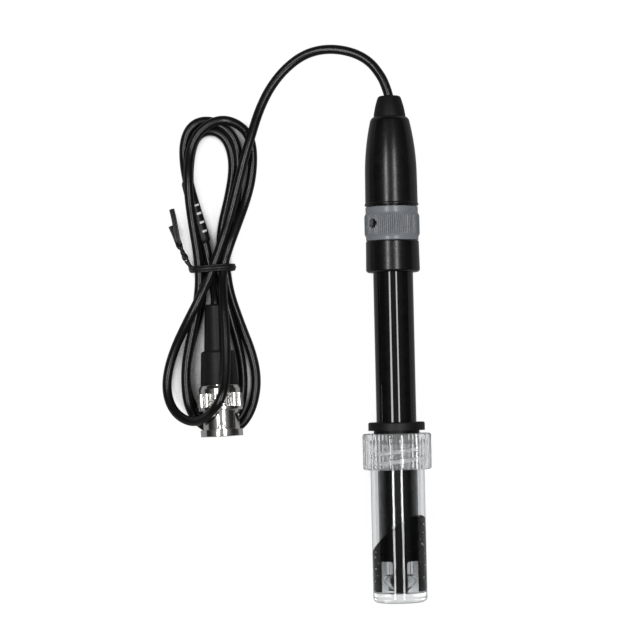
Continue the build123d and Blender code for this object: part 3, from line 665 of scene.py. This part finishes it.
def cable_controls():
    """Control points of the cable, held in the boot and in the plug."""
    held = on_axis(probe, boot_top - cable_hold) / MM
    end = on_axis(plug, plug_end - cable_diameter) / MM
    points = [held, on_axis(probe, boot_top + exit_run) / MM]
    for trace in (lead_trace, *turn_traces, tail_trace):
        points += [from_photo(*spot) for spot in trace]
    points += [on_axis(plug, plug_end + entry_run) / MM, end]
    controls = fit_curve(smooth_line(points))
    controls[:2] = held, on_axis(probe, boot_top - boot_edge) / MM
    controls[-2:] = on_axis(plug, plug_end) / MM, end
    return controls


def build_cable():
    curve = nurbs("cable", cable_controls(), 12)
    line = line_of(curve)
    curve.bevel_depth = cable_diameter / 2 * MM
    curve.bevel_resolution = 8
    curve.use_fill_caps = True
    made = add_object("cable", curve, materials["cable_jacket"])
    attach(made, "electrode")
    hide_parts("cable_lead", "cable_tail", "cable_hank")
    return made, line


cable, cable_line = build_cable()


def ring_at(point, tangent, radius, count):
    """Ring of points round a line, from its right side over its top."""
    side = tangent.cross(UP).normalized()
    top = side.cross(tangent)
    turn = 2 * pi / count
    return [point + (side * cos(i * turn) + top * sin(i * turn)) * radius * MM for i in range(count)]


# Label sleeve, shrunk on the last turn of the cable, with a row of plain printed bars
label_start = (-61.7, 52.0)
label_end = (-56.8, 33.3)
label_radius = 1.88
label_sink = 0.1
label_taper = 2
mark_places = (0.46, 0.58, 0.7, 0.82)
mark_length = 0.028
mark_reach = radians(50)
mark_lean = radians(122)
ink_height = 0.03


def last_turn_at(x, y):
    """Index of the point of the cable's last turn that lies nearest a place."""
    spot = Vector((x, y)) * MM
    late = range(len(cable_line) * 5 // 6, len(cable_line))
    return min(late, key=lambda i: (cable_line[i].xy - spot).length)


def at_share(line, share):
    """Point and direction at a share of the way along a line of even steps."""
    place = share * (len(line) - 1)
    i = min(int(place), len(line) - 2)
    return line[i].lerp(line[i + 1], place - i), (line[i + 1] - line[i]).normalized()


def build_label():
    line = cable_line[last_turn_at(*label_start) : last_turn_at(*label_end) + 1]
    end_radius = cable_diameter / 2 - label_sink
    rings = []
    for i, (point, tangent) in enumerate(zip(line, tangents(line))):
        inset = min(i, len(line) - 1 - i, label_taper) / label_taper
        radius = end_radius + (label_radius - end_radius) * inset**0.4
        rings.append(ring_at(point, tangent, radius, 32))
    sleeve = add_object("label", loft("label", rings), materials["sleeve_black"])
    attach(sleeve, "electrode")
    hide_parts("label_sleeve")
    ink = label_ink().material
    pieces = [sleeve]
    for number, place in enumerate(mark_places):
        rings = []
        for share in (place - mark_length / 2, place, place + mark_length / 2):
            point, tangent = at_share(line, share)
            side = tangent.cross(UP).normalized()
            top = side.cross(tangent)
            angles = [mark_lean + mark_reach * (step / 6 - 0.5) for step in range(7)]
            outer = [(angle, label_radius + ink_height) for angle in angles]
            inner = [(angle, label_radius - ink_height) for angle in reversed(angles)]
            rings.append([point + (side * cos(a) + top * sin(a)) * r * MM for a, r in outer + inner])
        bar = add_object(f"label_mark_{number + 1}", loft("label_mark", rings), ink)
        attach(bar, "electrode")
        pieces.append(bar)
    return pieces


label_pieces = build_label()


# Twist tie: plastic ribbon on a wire, once round the bundle, with its two ends twisted together
tie_band = [
    (-61.0, 25.2, 3.4), (-60.8, 25.2, 5.6), (-58.8, 25.1, 7.3), (-54.4, 25.4, 8.0), (-50.8, 25.6, 7.4),
    (-48.5, 25.6, 6.2), (-47.6, 25.6, 3.8), (-48.5, 25.5, 1.2), (-51.5, 25.4, 0.6), (-57.0, 25.3, 0.6),
    (-60.4, 25.2, 0.9), (-61.3, 25.1, 2.4), (-61.3, 25.3, 3.8),
]
tie_ends = [
    [
        (-61.0, 25.9, 3.2), (-62.4, 27.2, 3.8), (-62.5, 29.0, 2.6), (-63.8, 30.4, 3.6), (-63.8, 32.2, 2.6),
        (-64.7, 33.6, 3.0), (-65.1, 35.3, 3.0), (-65.4, 37.3, 2.9), (-65.7, 39.2, 2.7), (-66.1, 41.5, 2.4),
        (-66.6, 43.6, 2.0),
    ],
    [
        (-61.3, 25.7, 2.8), (-61.8, 27.5, 2.6), (-63.1, 28.7, 3.8), (-63.2, 30.7, 2.6), (-64.5, 31.9, 3.6),
        (-64.9, 33.2, 2.4), (-65.4, 34.5, 2.0), (-65.9, 35.9, 1.8), (-66.5, 37.3, 1.6), (-67.0, 38.5, 1.4),
    ],
]
bare_wire = [(-62.9, 27.8, 4.0), (-62.6, 27.9, 4.4), (-62.2, 27.9, 4.4), (-61.9, 28.0, 4.0)]
bare_wire_radius = 0.2
tie_band_width = 2.1
tie_end_width = 1.6
tie_end_turns = 0.75
ribbon_section = [
    (-1.0, 0.0), (-0.85, 0.24), (-0.42, 0.3), (-0.26, 0.46),
    (0.0, 0.53), (0.26, 0.46), (0.42, 0.3), (0.85, 0.24),
]


def ribbon(name, points, width, turns, side):
    """Flat ribbon with a wire down its middle, swept along a smooth line and twisted over its first half."""
    line = line_of(nurbs(name, points, 6))
    half = [(x * width / 2, z) for x, z in ribbon_section]
    section = half + [(-x, -z) for x, z in half]
    rings = []
    for i, (point, tangent) in enumerate(zip(line, tangents(line))):
        twist = Matrix.Rotation(2 * pi * turns * min(1, 2 * i / len(line)), 3, tangent)
        across = twist @ (side - tangent * side.dot(tangent)).normalized()
        out = across.cross(tangent)
        rings.append([point + (across * x + out * z) * MM for x, z in section])
    return loft(name, rings)


def build_tie():
    plastic = materials["tie_black"]
    along = Vector((0, 1, 0))
    made = [add_object("tie_band", ribbon("tie_band", tie_band, tie_band_width, 0, along), plastic)]
    for number, points in enumerate(tie_ends):
        name = f"tie_end_{number + 1}"
        twisted = ribbon(name, points, tie_end_width, tie_end_turns, UP)
        made.append(add_object(name, twisted, plastic))
    for piece in made:
        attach(piece, "electrode")
    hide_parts("twist_tie")
    line = line_of(nurbs("tie_wire", bare_wire, 6))
    rings = []
    for point, tangent in zip(line, tangents(line)):
        rings.append(ring_at(point, tangent, bare_wire_radius, 12))
    wire = add_object("tie_wire", loft("tie_wire", rings), materials["silver_wire"])
    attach(wire, "electrode")
    return [*made, wire]


tie_pieces = build_tie()


# Thread of the bottle: two ridges that wind up to the right
thread_root = 8.05
thread_crest = 8.62
thread_foot = 0.55
thread_top = 0.2
thread_lead = 5.9
thread_start = 40.2
thread_turn = radians(-120)
thread_rise = 5.9
thread_steps = 80


def build_threads():
    # The ridges take the pale painted-highlight finish, not the clear bottle's.
    plastic = thread_painted_highlight().material
    profile = [
        (thread_root, -thread_foot),
        (thread_crest, -thread_top),
        (thread_crest, thread_top),
        (thread_root, thread_foot),
    ]
    for start in range(2):
        rings = []
        for step in range(thread_steps + 1):
            share = step / thread_steps
            angle = thread_turn + pi * start + 2 * pi * thread_rise / thread_lead * share
            station = thread_start + thread_rise * share
            fade = min(1, 8 * share, 8 * (1 - share))
            ring = []
            for radius, along in profile:
                faded = thread_root + (radius - thread_root) * fade
                ring.append(around(probe, faded, station + along, angle))
            rings.append(ring)
        ridge = add_object(f"bottle_thread_{start + 1}", loft("bottle_thread", rings), plastic)
        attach(ridge, "bottle")


build_threads()


# Storage solution, with air bubbles on the bottle's wall: angle, station and radius of each
bubbles = [
    (-78, 13.6, 0.32), (-74, 10.2, 0.26), (-80, 6.4, 0.3), (-66, 8.2, 0.18), (-72, 15.2, 0.2),
    (-60, 12.0, 0.14), (74, 17.0, 0.3), (66, 17.4, 0.34), (80, 11.0, 0.28), (72, 20.8, 0.22),
    (58, 18.9, 0.16), (76, 23.2, 0.3), (78, 14.4, 0.16), (70, 7.4, 0.2), (-18, 22.4, 0.14), (8, 28.6, 0.2),
]


def build_solution():
    count = 96
    angles = [2 * pi * i / count for i in range(count)]
    edge = [solution_level + solution_swing * sin(angle + solution_turn) for angle in angles]
    rings = [
        [around(probe, solution_radius, solution_floor, angle) for angle in angles],
        [around(probe, solution_radius, station, angle) for station, angle in zip(edge, angles)],
    ]
    liquid = add_object("solution", loft("solution", rings), storage_solution().material)
    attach(liquid, "bottle")
    # The bubbles take the near-white painted reflection finish.
    air = bubble_painted_reflection().material
    bm = bmesh.new()
    for angle, station, radius in bubbles:
        middle = around(probe, solution_radius - radius - 0.05, station, radians(angle))
        place = Matrix.Translation(middle)
        bmesh.ops.create_uvsphere(bm, u_segments=16, v_segments=10, radius=radius * MM, matrix=place)
    air_bubbles = add_object("bubbles", mesh_from("bubbles", bm), air)
    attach(air_bubbles, "bottle")


build_solution()


# Stage: floor, sky, lamps and camera


def by_ray(tree, base, shares):
    """Value for light on matt things, with a share added for each other kind of ray that looks here."""
    path = tree.nodes.new("ShaderNodeLightPath")
    total = tree.nodes.new("ShaderNodeValue")
    total.outputs[0].default_value = base
    for ray, share in shares.items():
        step = tree.nodes.new("ShaderNodeMath")
        step.operation = "MULTIPLY_ADD"
        step.inputs[1].default_value = share
        tree.links.new(path.outputs[ray], step.inputs[0])
        tree.links.new(total.outputs[0], step.inputs[2])
        total = step
    return total.outputs[0]


def build_floor():
    """Pale floor that looks white in the open, with painted shadow that greys it where things close over it."""
    material = bpy.data.materials.new("studio_floor")
    material.use_nodes = True
    tree = material.node_tree
    tree.nodes.remove(tree.nodes["Principled BSDF"])
    matt = tree.nodes.new("ShaderNodeBsdfDiffuse")
    matt.inputs["Color"].default_value = (*grey(0.82), 1)
    white = tree.nodes.new("ShaderNodeEmission")
    shut = tree.nodes.new("ShaderNodeAmbientOcclusion")
    shut.samples = 16
    shut.inputs["Distance"].default_value = 0.03
    # Painted shadow: the floor's white glow dims where nearby things close over it.
    shadow_free_share = spread(tree, shut.outputs["AO"], 0.27, 0.44, 0.05, 1.0)
    seen = {"Is Camera Ray": 1.06, "Is Glossy Ray": 0.26, "Is Transmission Ray": 0.68}
    tree.links.new(product(tree, by_ray(tree, 0, seen), shadow_free_share), white.inputs["Strength"])
    mix = tree.nodes.new("ShaderNodeMixShader")
    tree.links.new(by_ray(tree, 0, dict.fromkeys(seen, 0.9)), mix.inputs["Fac"])
    tree.links.new(matt.outputs[0], mix.inputs[1])
    tree.links.new(white.outputs[0], mix.inputs[2])
    tree.links.new(mix.outputs[0], tree.nodes["Material Output"].inputs["Surface"])
    bm = bmesh.new()
    bmesh.ops.create_grid(bm, x_segments=1, y_segments=1, size=6.0)
    bmesh.ops.translate(bm, vec=(0, 0, -0.0001), verts=bm.verts)
    floor = add_object("floor", mesh_from("floor", bm), material)


def build_sky():
    """White to the eye, dim on matt things, with a glow overhead for gloss and a pale horizon for glass."""
    world = bpy.data.worlds.new("studio")
    world.use_nodes = True
    tree = world.node_tree
    sky = tree.nodes["Background"]
    sky.inputs["Color"].default_value = (*grey(1.0), 1)
    place = tree.nodes.new("ShaderNodeTexCoord")
    apart = tree.nodes.new("ShaderNodeSeparateXYZ")
    tree.links.new(place.outputs["Generated"], apart.inputs["Vector"])
    horizon = spread(tree, apart.outputs["Z"], 0.2, 0.55, 1.0, 0.0)
    overhead = spread(tree, apart.outputs["Z"], 0.5, 1.0, 0.0, 1.0)
    plain = {"Is Camera Ray": 0.84, "Is Glossy Ray": -0.14, "Is Transmission Ray": -0.08}
    strength = by_ray(tree, 0.16, plain)
    for part, shares in ((horizon, {"Is Transmission Ray": 0.5}), (overhead, {"Is Glossy Ray": 0.22})):
        both = tree.nodes.new("ShaderNodeMath")
        tree.links.new(strength, both.inputs[0])
        tree.links.new(product(tree, by_ray(tree, 0, shares), part), both.inputs[1])
        strength = both.outputs[0]
    tree.links.new(strength, sky.inputs["Strength"])
    bpy.context.scene.world = world


strip_width = 0.085
strip_length = 0.55
strip_distance = 0.65
strip_power = 2.0


def add_strip(name, lean):
    """Long lamp over the electrode, leaning from the vertical towards +x by an angle in degrees."""
    lamp = bpy.data.lights.new(name, "AREA")
    lamp.shape = "RECTANGLE"
    lamp.size = strip_width
    lamp.size_y = strip_length
    lamp.energy = strip_power
    holder = bpy.data.objects.new(name, lamp)
    direction = Vector((sin(radians(lean)), 0, cos(radians(lean))))
    holder.location = direction * strip_distance
    holder.rotation_euler = (0, radians(lean), 0)
    bpy.context.scene.collection.objects.link(holder)


def build_camera():
    data = bpy.data.cameras.new("camera")
    seen_width = 192.6
    data.sensor_width = 36
    data.lens = data.sensor_width * camera_distance / seen_width
    camera = bpy.data.objects.new("camera", data)
    camera.location = Vector((camera_x, camera_y, camera_height)) * MM
    camera.rotation_euler = (0, 0, camera_roll)
    bpy.context.scene.collection.objects.link(camera)
    bpy.context.scene.camera = camera


build_floor()
build_sky()
add_strip("strip_left", -22.4)
add_strip("strip_right", 15.5)
build_camera()
bpy.context.scene.view_settings.view_transform = "Standard"
